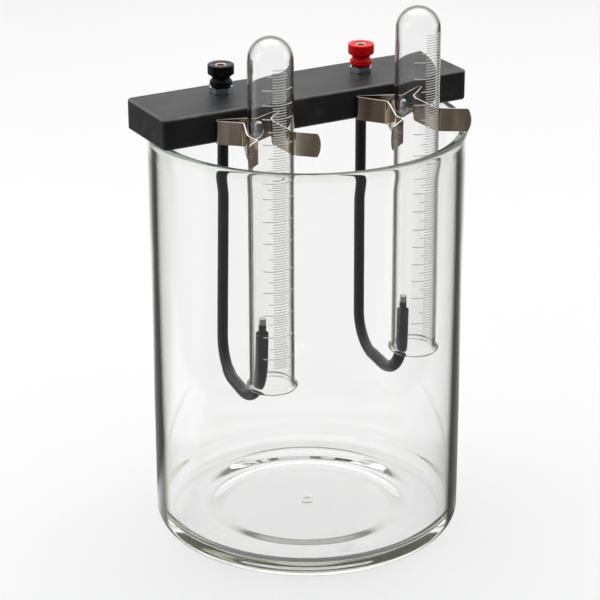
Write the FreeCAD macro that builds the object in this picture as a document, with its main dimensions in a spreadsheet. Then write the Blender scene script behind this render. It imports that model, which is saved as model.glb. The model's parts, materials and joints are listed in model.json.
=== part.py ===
import FreeCAD, Part
import Sketcher
import math
import os

# Battery-jar water electrolysis apparatus, in millimetres.
# Origin: centre of the underside of the glass jar.  +Z up.  +X along the support
# bar, -Y towards the two spring clips that hold the gas tubes.

doc = FreeCAD.newDocument("Voltameter")
V = FreeCAD.Vector

# ---------------------------------------------------------------- dimensions
sheet = doc.addObject("Spreadsheet::Sheet", "Dims")
sheet.Label = "Dims"
NUM = {}
_row = [1]


def dim(alias, value, note=""):
    r = _row[0]
    _row[0] += 1
    sheet.set("A%d" % r, alias)
    sheet.set("B%d" % r, repr(float(value)))
    sheet.setAlias("B%d" % r, alias)
    if note:
        sheet.set("C%d" % r, note)
    NUM[alias] = float(value)


class Q(object):
    """a size from the sheet, with its number and its expression"""

    def __init__(self, v, text):
        self.v = v
        self.t = text

    def __add__(self, o):
        o = q(o)
        return Q(self.v + o.v, "(%s + %s)" % (self.t, o.t))

    __radd__ = __add__

    def __sub__(self, o):
        o = q(o)
        return Q(self.v - o.v, "(%s - %s)" % (self.t, o.t))

    def __rsub__(self, o):
        return q(o) - self

    def __mul__(self, o):
        o = q(o)
        return Q(self.v * o.v, "(%s * %s)" % (self.t, o.t))

    __rmul__ = __mul__

    def __truediv__(self, o):
        o = q(o)
        return Q(self.v / o.v, "(%s / %s)" % (self.t, o.t))

    def __neg__(self):
        return Q(-self.v, "(0 - %s)" % self.t)


def q(x):
    if isinstance(x, Q):
        return x
    return Q(float(x), "%.6f" % float(x) if x >= 0 else "(0 - %.6f)" % -float(x))


def D(alias):
    return Q(NUM[alias], "Dims.%s" % alias)


# glass jar
dim("jar_radius", 76.0, "outside radius of the wall")
dim("jar_height", 206.7)
dim("jar_wall", 3.0)
dim("jar_floor", 7.0, "thickness of the base near its edge")
dim("jar_base_round", 7.0, "outside radius between base and wall")
dim("jar_floor_round", 7.5, "inside radius between floor and wall")
dim("jar_lip", 1.0, "how far the rim stands proud of the wall")
dim("jar_lip_height", 3.4)
dim("jar_disc_radius", 43.0, "raised disc in the floor")
dim("jar_disc_rise", 1.4)
dim("jar_pip_radius", 3.4, "dimple at the middle of the floor")
dim("jar_pip_depth", 0.8)
# support bar
dim("bar_length", 164.7)
dim("bar_width", 40.8)
dim("bar_thick", 15.0)
dim("bar_centre_x", 3.8)
dim("bar_front_y", -7.0, "front face, towards the clips")
dim("bar_corner", 2.8, "vertical corners")
dim("bar_edge", 1.2, "rounding of the long edges")
dim("nut_pocket_radius", 7.6, "round pocket under the bar")
dim("nut_pocket_depth", 8.0)
dim("stud_hole_radius", 3.2)
dim("screw_hole_radius", 1.9)
dim("screw_hole_depth", 13.0)
# terminals: axes on the bar
dim("black_x", -35.4)
dim("black_y", 19.5)
dim("red_x", 39.8)
dim("red_y", 16.8)
dim("nut_flats", 10.0, "hexagon across flats")
dim("nut_thick", 3.2)
dim("nut_bore_radius", 3.05)
dim("washer_radius", 6.0)
dim("washer_thick", 1.0)
dim("ring_radius", 4.6, "small ring of the collar")
dim("ring_height", 0.7)
dim("collar_radius", 5.5)
dim("collar_height", 1.9, "whole collar")
dim("collar_bevel", 0.35)
dim("cap_gap", 0.05, "running gap under the cap")
dim("cap_skirt_radius", 5.4)
dim("cap_neck_radius", 4.3)
dim("cap_head_radius", 6.35)
dim("cap_height", 8.85, "skirt to top")
dim("cap_head_height", 4.6, "straight side of the head")
dim("cap_under", 1.4, "height of the slope under the head")
dim("cap_bore_gap", 0.12, "hole in the cap's top round the stud")
dim("bush_radius", 4.4, "threaded bush moulded into the head")
dim("bush_length", 2.5)
dim("bush_below_top", 1.05)
dim("bush_gap", 0.05)
dim("stud_radius", 3.0)
dim("stud_top_drop", 0.25, "stud below the top of the closed cap")
dim("socket_radius", 2.0)
dim("socket_depth", 18.5)
dim("stud_foot_radius", 2.15, "blind hole for the electrode")
dim("stud_foot_depth", 6.2)
dim("stud_tail", 1.2, "stud below the lower nut")
# electrodes
dim("core_radius", 1.2)
dim("sleeve_radius", 2.66)
dim("boot_radius", 2.92)
dim("boot_wall_gap", 0.03)
dim("neck_radius", 1.75)
dim("tip_radius", 1.65)
dim("core_top", 6.5, "core above the underside of the bar")
dim("sleeve_top", 2.2, "sleeve above the underside of the bar")
dim("black_rod_x", -34.7)
dim("black_rod_y", 19.5)
dim("black_turn", -98.1, "direction of the bend, degrees from +X")
dim("black_lean", 1.05, "lean of the rod, degrees")
dim("black_span", 57.1)
dim("black_bend_a", 16.8)
dim("black_bend_b", 27.0)
dim("black_tilt", 1.6, "outward lean of the short upright, degrees")
dim("black_low", 126.6, "rod end below the bar, to the middle of the bend")
dim("black_boot_up", 41.00, "boot top above the lowest point of the centre line")
dim("black_neck_up", 45.30)
dim("black_tip_up", 48.40)
dim("black_boot_start", 60.0, "boot starts this many degrees round the first bend")
dim("red_rod_x", 40.0)
dim("red_rod_y", 16.8)
dim("red_turn", -97.6)
dim("red_lean", 0.0)
dim("red_span", 52.9)
dim("red_bend_a", 17.0)
dim("red_bend_b", 22.5)
dim("red_tilt", 2.1)
dim("red_low", 127.7)
dim("red_boot_up", 38.1)
dim("red_neck_up", 42.2)
dim("red_tip_up", 45.35)
dim("red_boot_start", 88.0)
# gas tubes
dim("tube_radius", 10.6)
dim("tube_wall", 1.2)
dim("tube_length", 171.35)
dim("tube_lip_radius", 12.1, "rolled bead at the mouth")
dim("tube_lip_height", 4.5)
dim("tube_flare", 0.8, "widening of the bore at the mouth")
dim("left_tube_x", -39.1)
dim("left_tube_y", -36.95)
dim("left_tube_z", 92.35)
dim("right_tube_x", 36.6)
dim("right_tube_y", -40.3)
dim("right_tube_z", 97.1)
# spring clips: one bent strip each, path of its middle seen from above
dim("strip_thick", 0.6)
dim("strip_height", 11.3)
dim("strip_bottom", 206.95)
dim("left_screw_x", -35.8)
dim("left_screw_up", 6.05, "above the strip's lower edge")
dim("right_screw_x", 40.9)
dim("right_screw_up", 5.45)
dim("screw_head_radius", 4.3)
dim("screw_head_height", 2.6)
dim("screw_shank_radius", 1.85)
dim("screw_length", 16.0)
dim("strip_hole_radius", 2.4)
PATHS = {  # name, x, y, bend radius
    "left": [
        ("tab_l", -57.0, -49.0, 0.0),
        ("neck_l", -48.86, -42.85, 1.2),
        ("grip_l", -50.71, -36.24, 10.98),
        ("leaf_l", -43.0, -17.9, 2.0),
        ("fold_a", -52.3, -9.75, 0.95),
        ("fold_b", -52.3, -7.35, 0.95),
        ("vee", -35.4, -13.27, 5.0),
        ("fold_c", -18.05, -7.35, 0.95),
        ("fold_d", -18.05, -9.75, 0.95),
        ("leaf_r", -27.85, -16.5, 2.2),
        ("waist_r", -29.35, -21.0, 3.0),
        ("grip_r", -28.06, -37.34, 10.98),
        ("neck_r", -28.6, -41.0, 1.2),
        ("tab_r", -20.0, -49.3, 0.0),
    ],
    "right": [
        ("tab_l", 12.6, -57.5, 0.0),
        ("neck_l", 23.9, -49.1, 1.5),
        ("grip_l", 23.6, -43.5, 9.0),
        ("waist_l", 30.4, -25.9, 3.0),
        ("leaf_l", 31.6, -21.7, 2.2),
        ("fold_a", 22.9, -9.75, 0.95),
        ("fold_b", 22.9, -7.35, 0.95),
        ("vee", 41.65, -15.4, 5.0),
        ("fold_c", 59.1, -7.35, 0.95),
        ("fold_d", 59.1, -9.75, 0.95),
        ("leaf_r", 47.5, -19.0, 2.2),
        ("waist_r", 46.3, -22.9, 3.0),
        ("grip_r", 47.6, -40.35, 10.98),
        ("neck_r", 47.55, -43.0, 1.2),
        ("tab_r", 60.1, -51.2, 0.0),
    ],
}
for side, path in PATHS.items():
    for nm, px, py, pr in path:
        dim("clip_%s_%s_x" % (side, nm), px)
        dim("clip_%s_%s_y" % (side, nm), py)
        if pr:
            dim("clip_%s_%s_bend" % (side, nm), pr)
doc.recompute()

# ------------------------------------------------------------------- helpers
SUBPARTS = []


def new_body(label):
    b = doc.addObject("PartDesign::Body", label)
    b.Label = label
    SUBPARTS.append(b)
    return b


def plane(b, role):
    for f in b.Origin.OriginFeatures:
        if f.Role == role:
            return f
    raise ValueError(role)


def place(obj, x, y, z, yaw=0.0, lean=0.0):
    """put a sub-part at (x, y, z), turned about Z by yaw, then leaned about Y"""
    rot = FreeCAD.Rotation(V(0, 1, 0), q(lean).v) * FreeCAD.Rotation(V(0, 0, 1), q(yaw).v)
    obj.Placement = FreeCAD.Placement(V(q(x).v, q(y).v, q(z).v), rot)
    for axis, val in (("x", x), ("y", y), ("z", z)):
        obj.setExpression("Placement.Base.%s" % axis, q(val).t)


def new_sketch(b, name, role, offset=None):
    if b is None:
        s = doc.addObject("Sketcher::SketchObject", name)
        return s
    s = b.newObject("Sketcher::SketchObject", name)
    s.AttachmentSupport = [(plane(b, role), "")]
    s.MapMode = "FlatFace"
    if offset is not None:
        s.AttachmentOffset = offset
    return s


def hold(s, geo, pos, x, y, only=None):
    """tie a sketch point to sizes of the sheet"""
    for kind, val, axis in (("DistanceX", q(x), -2), ("DistanceY", q(y), -1)):
        if only and kind != only:
            continue
        if abs(val.v) < 1e-9:
            s.addConstraint(Sketcher.Constraint("PointOnObject", geo, pos, axis))
        elif val.v > 0:
            i = s.addConstraint(Sketcher.Constraint(kind, -1, 1, geo, pos, val.v))
            s.setExpression("Constraints[%d]" % i, val.t)
        else:
            i = s.addConstraint(Sketcher.Constraint(kind, geo, pos, -1, 1, -val.v))
            s.setExpression("Constraints[%d]" % i, (-val).t)


def outline(s, pts, arcs=None, close=True):
    """closed chain through pts; arcs maps an edge's number to (centre x, centre y,
    anticlockwise, which coordinate of the centre is tied)"""
    arcs = arcs or {}
    n = len(pts)
    P = [V(q(a).v, q(b).v, 0) for a, b in pts]
    ends = []
    m = n if close else n - 1
    for i in range(m):
        a, b = P[i], P[(i + 1) % n]
        if i in arcs:
            cx, cy, ccw, tie = arcs[i]
            c = V(q(cx).v, q(cy).v, 0)
            rad = (a - c).Length
            s0, s1 = (a, b) if ccw else (b, a)
            t0 = math.atan2(s0.y - c.y, s0.x - c.x)
            t1 = math.atan2(s1.y - c.y, s1.x - c.x)
            if t1 <= t0:
                t1 += 2 * math.pi
            g = s.addGeometry(Part.ArcOfCircle(Part.Circle(c, V(0, 0, 1), rad), t0, t1), False)
            ends.append((g, 1, 2) if ccw else (g, 2, 1))
        else:
            g = s.addGeometry(Part.LineSegment(a, b), False)
            ends.append((g, 1, 2))
    for i in range(m):
        j = (i + 1) % m
        if j == 0 and not close:
            break
        s.addConstraint(Sketcher.Constraint("Coincident", ends[i][0], ends[i][2], ends[j][0], ends[j][1]))
    for i in range(m):
        hold(s, ends[i][0], ends[i][1], pts[i][0], pts[i][1])
    if not close:
        hold(s, ends[m - 1][0], ends[m - 1][2], pts[n - 1][0], pts[n - 1][1])
    for i, (cx, cy, ccw, tie) in arcs.items():
        hold(s, ends[i][0], 3, cx, cy, "DistanceX" if tie == "x" else "DistanceY")
    return s


def ring(s, r, x=0.0, y=0.0):
    g = s.addGeometry(Part.Circle(V(q(x).v, q(y).v, 0), V(0, 0, 1), q(r).v), False)
    i = s.addConstraint(Sketcher.Constraint("Radius", g, q(r).v))
    s.setExpression("Constraints[%d]" % i, q(r).t)
    if abs(q(x).v) < 1e-9 and abs(q(y).v) < 1e-9:
        s.addConstraint(Sketcher.Constraint("Coincident", g, 3, -1, 1))
    else:
        hold(s, g, 3, x, y)
    return g


def revolve(b, name, pts, arcs=None):
    s = new_sketch(b, name + "_profile", "XZ_Plane")
    outline(s, pts, arcs)
    doc.recompute()
    f = b.newObject("PartDesign::Revolution", name)
    f.Profile = s
    f.ReferenceAxis = (s, ["V_Axis"])
    f.Angle = 360.0
    b.Tip = f
    doc.recompute()
    return f


def groove(b, name, pts, arcs=None):
    before = b.Shape.Volume
    s = new_sketch(b, name + "_profile", "XZ_Plane")
    outline(s, pts, arcs)
    doc.recompute()
    f = b.newObject("PartDesign::Groove", name)
    f.Profile = s
    f.ReferenceAxis = (s, ["V_Axis"])
    f.Angle = 360.0
    b.Tip = f
    doc.recompute()
    assert b.Shape.Volume < before - 1e-6, name
    return f


def pad(b, name, s, length):
    f = b.newObject("PartDesign::Pad", name)
    f.Profile = s
    f.Length = q(length).v
    f.setExpression("Length", q(length).t)
    b.Tip = f
    doc.recompute()
    return f


def pocket(b, name, s, depth=None, reversed_=False):
    before = b.Shape.Volume
    f = b.newObject("PartDesign::Pocket", name)
    f.Profile = s
    f.Reversed = reversed_
    if depth is None:
        f.Type = "ThroughAll"
    else:
        f.Length = q(depth).v
        f.setExpression("Length", q(depth).t)
    b.Tip = f
    doc.recompute()
    assert b.Shape.Volume < before - 1e-6, name
    return f


def fillet(b, name, base, radius, test):
    doc.recompute()
    names = []
    for i, e in enumerate(base.Shape.Edges):
        if test(e):
            names.append("Edge%d" % (i + 1))
    assert names, name
    f = b.newObject("PartDesign::Fillet", name)
    f.Base = (base, names)
    f.Radius = q(radius).v
    f.setExpression("Radius", q(radius).t)
    b.Tip = f
    doc.recompute()
    return f


def on_circle(r, z):
    def test(e):
        c = e.Curve
        return (hasattr(c, "Radius") and hasattr(c, "Center") and abs(c.Radius - r) < 1e-3
                and abs(c.Center.z - z) < 1e-3 and abs(c.Axis.z) > 0.99)
    return test


def pipe(b, name, spine, profile):
    f = b.newObject("PartDesign::AdditivePipe", name)
    f.Profile = profile
    f.Spine = spine
    b.Tip = f
    doc.recompute()
    return f


BAR_Z = D("jar_height")
BAR_TOP = D("jar_height") + D("bar_thick")

# ------------------------------------------------------------------ glass jar
R, H, W = D("jar_radius"), D("jar_height"), D("jar_wall")
b = new_body("glass_jar")
f = revolve(b, "jar_glass", [
    (0, 0), (R, 0), (R, H - D("jar_lip_height") - 1.6), (R + D("jar_lip"), H - D("jar_lip_height")),
    (R + D("jar_lip"), H), (R - W, H), (R - W, D("jar_floor")),
    (D("jar_disc_radius") + 2.5, D("jar_floor")),
    (D("jar_disc_radius"), D("jar_floor") + D("jar_disc_rise")),
    (D("jar_pip_radius"), D("jar_floor") + D("jar_disc_rise")),
    (D("jar_pip_radius") - 1.2, D("jar_floor") + D("jar_disc_rise") - D("jar_pip_depth")),
    (0, D("jar_floor") + D("jar_disc_rise") - D("jar_pip_depth")),
])
f = fillet(b, "jar_heel", f, D("jar_base_round"), on_circle(R.v, 0.0))
f = fillet(b, "jar_inner_corner", f, D("jar_floor_round"), on_circle(R.v - W.v, NUM["jar_floor"]))
f = fillet(b, "jar_rim_outer", f, 1.35, on_circle(R.v + NUM["jar_lip"], H.v))
f = fillet(b, "jar_rim_inner", f, 1.1, on_circle(R.v - W.v, H.v))
f = fillet(b, "jar_lip_under", f, 1.0, on_circle(R.v + NUM["jar_lip"], H.v - NUM["jar_lip_height"]))
place(b, 0, 0, 0)

# ---------------------------------------------------------------- support bar
b = new_body("support_bar")
L2, BW = D("bar_length") / 2, D("bar_width")
s = new_sketch(b, "bar_outline", "XY_Plane")
outline(s, [(-L2, 0), (L2, 0), (L2, BW), (-L2, BW)])
doc.recompute()
f = pad(b, "bar_block", s, D("bar_thick"))


def vertical(e):
    d = e.Vertexes[-1].Point - e.Vertexes[0].Point
    return abs(d.z) > 1.0 and abs(d.x) + abs(d.y) < 1e-6


f = fillet(b, "bar_corners", f, D("bar_corner"), vertical)
T_ = NUM["bar_thick"]


def flat_edges(e):
    zs = [v.Point.z for v in e.Vertexes]
    return all(abs(z) < 1e-6 for z in zs) or all(abs(z - T_) < 1e-6 for z in zs)


f = fillet(b, "bar_edges", f, D("bar_edge"), flat_edges)
cx, fy = D("bar_centre_x"), D("bar_front_y")
posts = [(D("black_x") - cx, D("black_y") - fy), (D("red_x") - cx, D("red_y") - fy)]
s = new_sketch(b, "stud_holes", "XY_Plane")
for x, y in posts:
    ring(s, D("stud_hole_radius"), x, y)
doc.recompute()
pocket(b, "stud_bores", s, None, True)
s = new_sketch(b, "nut_pockets_outline", "XY_Plane")
for x, y in posts:
    ring(s, D("nut_pocket_radius"), x, y)
doc.recompute()
pocket(b, "nut_pockets", s, D("nut_pocket_depth"), True)
s = new_sketch(b, "clip_screw_holes", "XZ_Plane")
for t in ("left", "right"):
    ring(s, D("screw_hole_radius"), D(t + "_screw_x") - cx, D("strip_bottom") + D(t + "_screw_up") - BAR_Z)
doc.recompute()
pocket(b, "clip_screw_bores", s, D("screw_hole_depth"), False)
place(b, cx, fy, BAR_Z)

# ------------------------------------------------------------------ terminals
HEX = 1.0 / math.sqrt(3.0)


def hex_nut(label, x, y, z, yaw):
    b = new_body(label)
    s = new_sketch(b, label + "_hex", "XY_Plane")
    c = D("nut_flats") * HEX
    pts = [(c, 0), (c * 0.5, D("nut_flats") / 2), (c * -0.5, D("nut_flats") / 2),
           (-c, 0), (c * -0.5, -(D("nut_flats") / 2)), (c * 0.5, -(D("nut_flats") / 2))]
    outline(s, pts)
    ring(s, D("nut_bore_radius"))
    doc.recompute()
    pad(b, label + "_block", s, D("nut_thick"))
    t = D("nut_thick")
    fl = D("nut_flats") / 2
    groove(b, label + "_top_bevel", [(fl - 0.15, t), (fl + 1.4, t), (fl + 1.4, t - 0.85)])
    groove(b, label + "_low_bevel", [(fl - 0.15, 0), (fl + 1.4, 0.85), (fl + 1.4, 0)])
    place(b, x, y, z, yaw)
    return b


for col, yaw in (("black", -20.8), ("red", -7.7)):
    x, y = D(col + "_x"), D(col + "_y")
    hex_nut("terminal_nut_" + col, x, y, BAR_TOP, yaw)
    z = BAR_TOP + D("nut_thick")
    # insulating collar on the nut
    b = new_body("terminal_collar_" + col)
    rb = D("nut_bore_radius")
    cr, ch, cb = D("collar_radius"), D("collar_height"), D("collar_bevel")
    revolve(b, "collar_" + col, [(rb, 0), (D("ring_radius"), 0), (D("ring_radius"), D("ring_height")),
                                 (cr - cb, D("ring_height")), (cr, D("ring_height") + cb),
                                 (cr, ch - cb), (cr - cb, ch), (rb, ch)])
    place(b, x, y, z)
    # screw cap, with a closed ring-shaped seat for its bush
    zc = z + D("collar_height") + D("cap_gap")
    b = new_body("terminal_cap_" + col)
    ht, hh, hu = D("cap_height"), D("cap_head_height"), D("cap_under")
    hr, nr, sr = D("cap_head_radius"), D("cap_neck_radius"), D("cap_skirt_radius")
    cb = D("stud_radius") + D("cap_bore_gap")
    bo, bg = D("bush_radius") + D("bush_gap"), D("bush_gap")
    bt = ht - D("bush_below_top") + bg
    bb = bt - D("bush_length") - bg * 2
    revolve(b, "cap_" + col, [
        (cb, 0), (sr - 0.25, 0), (sr, 0.25), (sr, 0.6), (sr - 0.35, 1.0),
        (nr + 0.15, 1.7), (nr, 2.1),
        (nr, ht - hh - hu), (hr - 0.25, ht - hh - 0.2), (hr, ht - hh + 0.1), (hr, ht - 0.35),
        (hr - 0.35, ht), (cb + 0.15, ht), (cb, ht - 0.15), (cb, bt), (bo, bt), (bo, bb), (cb, bb)])
    place(b, x, y, zc)
    # threaded bush in the head
    b = new_body("cap_bush_" + col)
    revolve(b, "bush_" + col, [
        (D("stud_radius") + bg, 0), (D("bush_radius"), 0), (D("bush_radius"), D("bush_length")),
        (D("stud_radius") + bg, D("bush_length"))])
    place(b, x, y, zc + ht - D("bush_below_top") - D("bush_length"))
    # stud from the top of the cap down through the bar, with the plug socket in its
    # upper end and a blind hole for the electrode in its lower end
    b = new_body("terminal_stud_" + col)
    drop = D("bar_thick") - D("nut_pocket_depth") + D("washer_thick") + D("nut_thick") + D("stud_tail")
    top = D("nut_thick") + D("collar_height") + D("cap_gap") + ht - D("stud_top_drop")
    so, ro = D("socket_radius"), D("stud_radius")
    revolve(b, "stud_" + col, [
        (0, -drop + D("stud_foot_depth")), (D("stud_foot_radius"), -drop + D("stud_foot_depth")),
        (D("stud_foot_radius"), -drop), (ro - 0.3, -drop), (ro, -drop + 0.3), (ro, top - 0.3),
        (ro - 0.3, top), (so + 0.35, top), (so, top - 0.35), (so, top - D("socket_depth")),
        (0, top - D("socket_depth"))])
    place(b, x, y, BAR_TOP)
    # washer and nut in the pocket under the bar
    zp = BAR_Z + D("nut_pocket_depth") - D("washer_thick")
    b = new_body("lower_washer_" + col)
    revolve(b, "washer_" + col, [(D("nut_bore_radius") + 0.1, 0), (D("washer_radius"), 0),
                                 (D("washer_radius"), D("washer_thick")),
                                 (D("nut_bore_radius") + 0.1, D("washer_thick"))])
    place(b, x, y, zp)
    hex_nut("lower_nut_" + col, x, y, zp - D("nut_thick"), 12.0)

# ----------------------------------------------------------------- electrodes


def upright_x(col, up):
    """distance out from the rod to the short upright, at a height above the low point"""
    t = math.radians(NUM[col + "_tilt"])
    return D(col + "_span") + (up - D(col + "_bend_b") * (1 - math.sin(t))) * math.tan(t)


def bend_route(s, col, start, first_angle, up):
    """open chain in the plane of the bend: straight rod, first bend, floor, second
    bend, short upright.  first_angle is how far round the first bend it starts"""
    ra, rb = D(col + "_bend_a"), D(col + "_bend_b")
    low, span = D(col + "_low"), D(col + "_span")
    t = math.radians(NUM[col + "_tilt"])
    cxb = span - rb * math.cos(t)
    pts, arcs = [], {}
    if first_angle is None:
        pts.append((0, start))
        pts.append((0, -low + ra))
        arcs[1] = (ra, -low + ra, True, "x")
    else:
        a = math.radians(first_angle)
        pts.append((ra * (1 - math.cos(a)), -low + ra - ra * math.sin(a)))
        arcs[0] = (ra, -low + ra, True, "x")
    pts.append((ra, -low))
    pts.append((cxb, -low))
    arcs[len(pts) - 1] = (cxb, -low + rb, True, "x")
    pts.append((span, -low + rb * (1 - math.sin(t))))
    pts.append((upright_x(col, up), -low + up))
    outline(s, pts, arcs, close=False)
    return pts


def bent_tube(label, col, outer, inner, start, first_angle, up):
    b = new_body(label)
    sp = new_sketch(b, label + "_route", "XZ_Plane")
    pts = bend_route(sp, col, start, first_angle, up)
    x0, z0 = q(pts[0][0]).v, q(pts[0][1]).v
    off = FreeCAD.Placement(V(x0, 0, z0), FreeCAD.Rotation(V(0, 1, 0), -(first_angle or 0.0)))
    pr = new_sketch(b, label + "_section", "XY_Plane", off)
    ring(pr, outer)
    if inner is not None:
        ring(pr, inner)
    doc.recompute()
    pipe(b, label + "_sweep", sp, pr)
    return b


for col in ("black", "red"):
    low = D(col + "_low")
    x, y, yaw, lean = D(col + "_rod_x"), D(col + "_rod_y"), D(col + "_turn"), D(col + "_lean")
    boot_up, neck_up, tip_up = D(col + "_boot_up"), D(col + "_neck_up"), D(col + "_tip_up")
    bi = D("sleeve_radius") + D("boot_wall_gap")
    core = bent_tube("electrode_core_" + col, col, D("core_radius"), None, D("core_top"), None, neck_up)
    sleeve = bent_tube("electrode_sleeve_" + col, col, D("sleeve_radius"), D("core_radius") + 0.03,
                       D("sleeve_top"), None, boot_up - 2.2)
    boot = bent_tube("electrode_boot_" + col, col, D("boot_radius"), bi, 0, NUM[col + "_boot_start"], boot_up)
    for bb in (core, sleeve, boot):
        place(bb, x, y, BAR_Z, yaw, lean)
    # narrow insulation that stands out of the boot, and the bare metal end
    for label, r_in, r_out, z0, z1 in (
            ("electrode_neck_" + col, D("core_radius") + 0.03, D("neck_radius"), boot_up - 2.15, neck_up),
            ("electrode_tip_" + col, None, D("tip_radius"), neck_up, tip_up)):
        b = new_body(label)
        ux = upright_x(col, z0)
        s = new_sketch(b, label + "_section", "XY_Plane",
                       FreeCAD.Placement(V(ux.v, 0, -low.v + z0.v),
                                         FreeCAD.Rotation(V(0, 1, 0), NUM[col + "_tilt"])))
        s.setExpression("AttachmentOffset.Base.x", ux.t)
        s.setExpression("AttachmentOffset.Base.z", (z0 - low).t)
        ring(s, r_out)
        if r_in is not None:
            ring(s, r_in)
        doc.recompute()
        pad(b, label + "_body", s, z1 - z0)
        place(b, x, y, BAR_Z, yaw, lean)

# ------------------------------------------------------------------ gas tubes
for side in ("left", "right"):
    b = new_body("gas_tube_" + side)
    r, w, tl = D("tube_radius"), D("tube_wall"), D("tube_length")
    lr, lh = D("tube_lip_radius"), D("tube_lip_height")
    fl = D("tube_flare")
    revolve(b, "tube_" + side, [
        (r - w, lh - 1), (r - w + fl * 0.4, lh - 2.6), (r - w + fl, 0.35), (r - w + fl + 0.35, 0),
        (lr - 0.8, 0), (lr - 0.2, 0.4), (lr, 1.0), (lr, 1.9), (lr - 0.8, lh - 1.3), (r, lh),
        (r, tl - r), (0, tl), (0, tl - w), (r - w, tl - r)],
        {10: (0, tl - r, True, "x"), 12: (0, tl - r, False, "x")})
    place(b, D(side + "_tube_x"), D(side + "_tube_y"), D(side + "_tube_z"))

# --------------------------------------------------------------- spring clips


def strip_route(s, pts):
    """open chain of straight runs joined by tangent bends; pts are (x, y, bend)"""
    P = [V(a.v, c.v, 0) for a, c, r in pts]
    cut = []
    for i in range(len(P)):
        if 0 < i < len(P) - 1:
            u = (P[i - 1] - P[i]).normalize()
            w = (P[i + 1] - P[i]).normalize()
            ang = u.getAngle(w)
            d = pts[i][2].v / math.tan(ang / 2)
            bis = (u + w).normalize()
            c = P[i] + bis * (pts[i][2].v / math.sin(ang / 2))
            cut.append((P[i] + u * d, P[i] + w * d, c, u.cross(w).z))
        else:
            cut.append((P[i], P[i], None, 0))
    lines, bends = [], {}
    for i in range(len(P) - 1):
        lines.append(s.addGeometry(Part.LineSegment(cut[i][1], cut[i + 1][0]), False))
    for i in range(1, len(P) - 1):
        a, e, c, turn = cut[i]
        # turn < 0: the route bends anticlockwise from a to e about c
        ccw = turn < 0
        s0, s1 = (a, e) if ccw else (e, a)
        t0 = math.atan2(s0.y - c.y, s0.x - c.x)
        t1 = math.atan2(s1.y - c.y, s1.x - c.x)
        if t1 <= t0:
            t1 += 2 * math.pi
        g = s.addGeometry(Part.ArcOfCircle(Part.Circle(c, V(0, 0, 1), pts[i][2].v), t0, t1), False)
        bends[i] = (g, 1, 2) if ccw else (g, 2, 1)
    corner = {}
    for i in range(1, len(P) - 1):
        corner[i] = s.addGeometry(Part.Point(P[i]), True)
    for i in range(1, len(P) - 1):
        g, st, en = bends[i]
        s.addConstraint(Sketcher.Constraint("Tangent", lines[i - 1], 2, g, st))
        s.addConstraint(Sketcher.Constraint("Tangent", g, en, lines[i], 1))
        k = s.addConstraint(Sketcher.Constraint("Radius", g, pts[i][2].v))
        s.setExpression("Constraints[%d]" % k, pts[i][2].t)
        hold(s, corner[i], 1, pts[i][0], pts[i][1])
        s.addConstraint(Sketcher.Constraint("PointOnObject", corner[i], 1, lines[i - 1]))
        s.addConstraint(Sketcher.Constraint("PointOnObject", corner[i], 1, lines[i]))
    hold(s, lines[0], 1, pts[0][0], pts[0][1])
    hold(s, lines[-1], 2, pts[-1][0], pts[-1][1])


def add(kind, name):
    return doc.addObject(kind, name)


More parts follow.
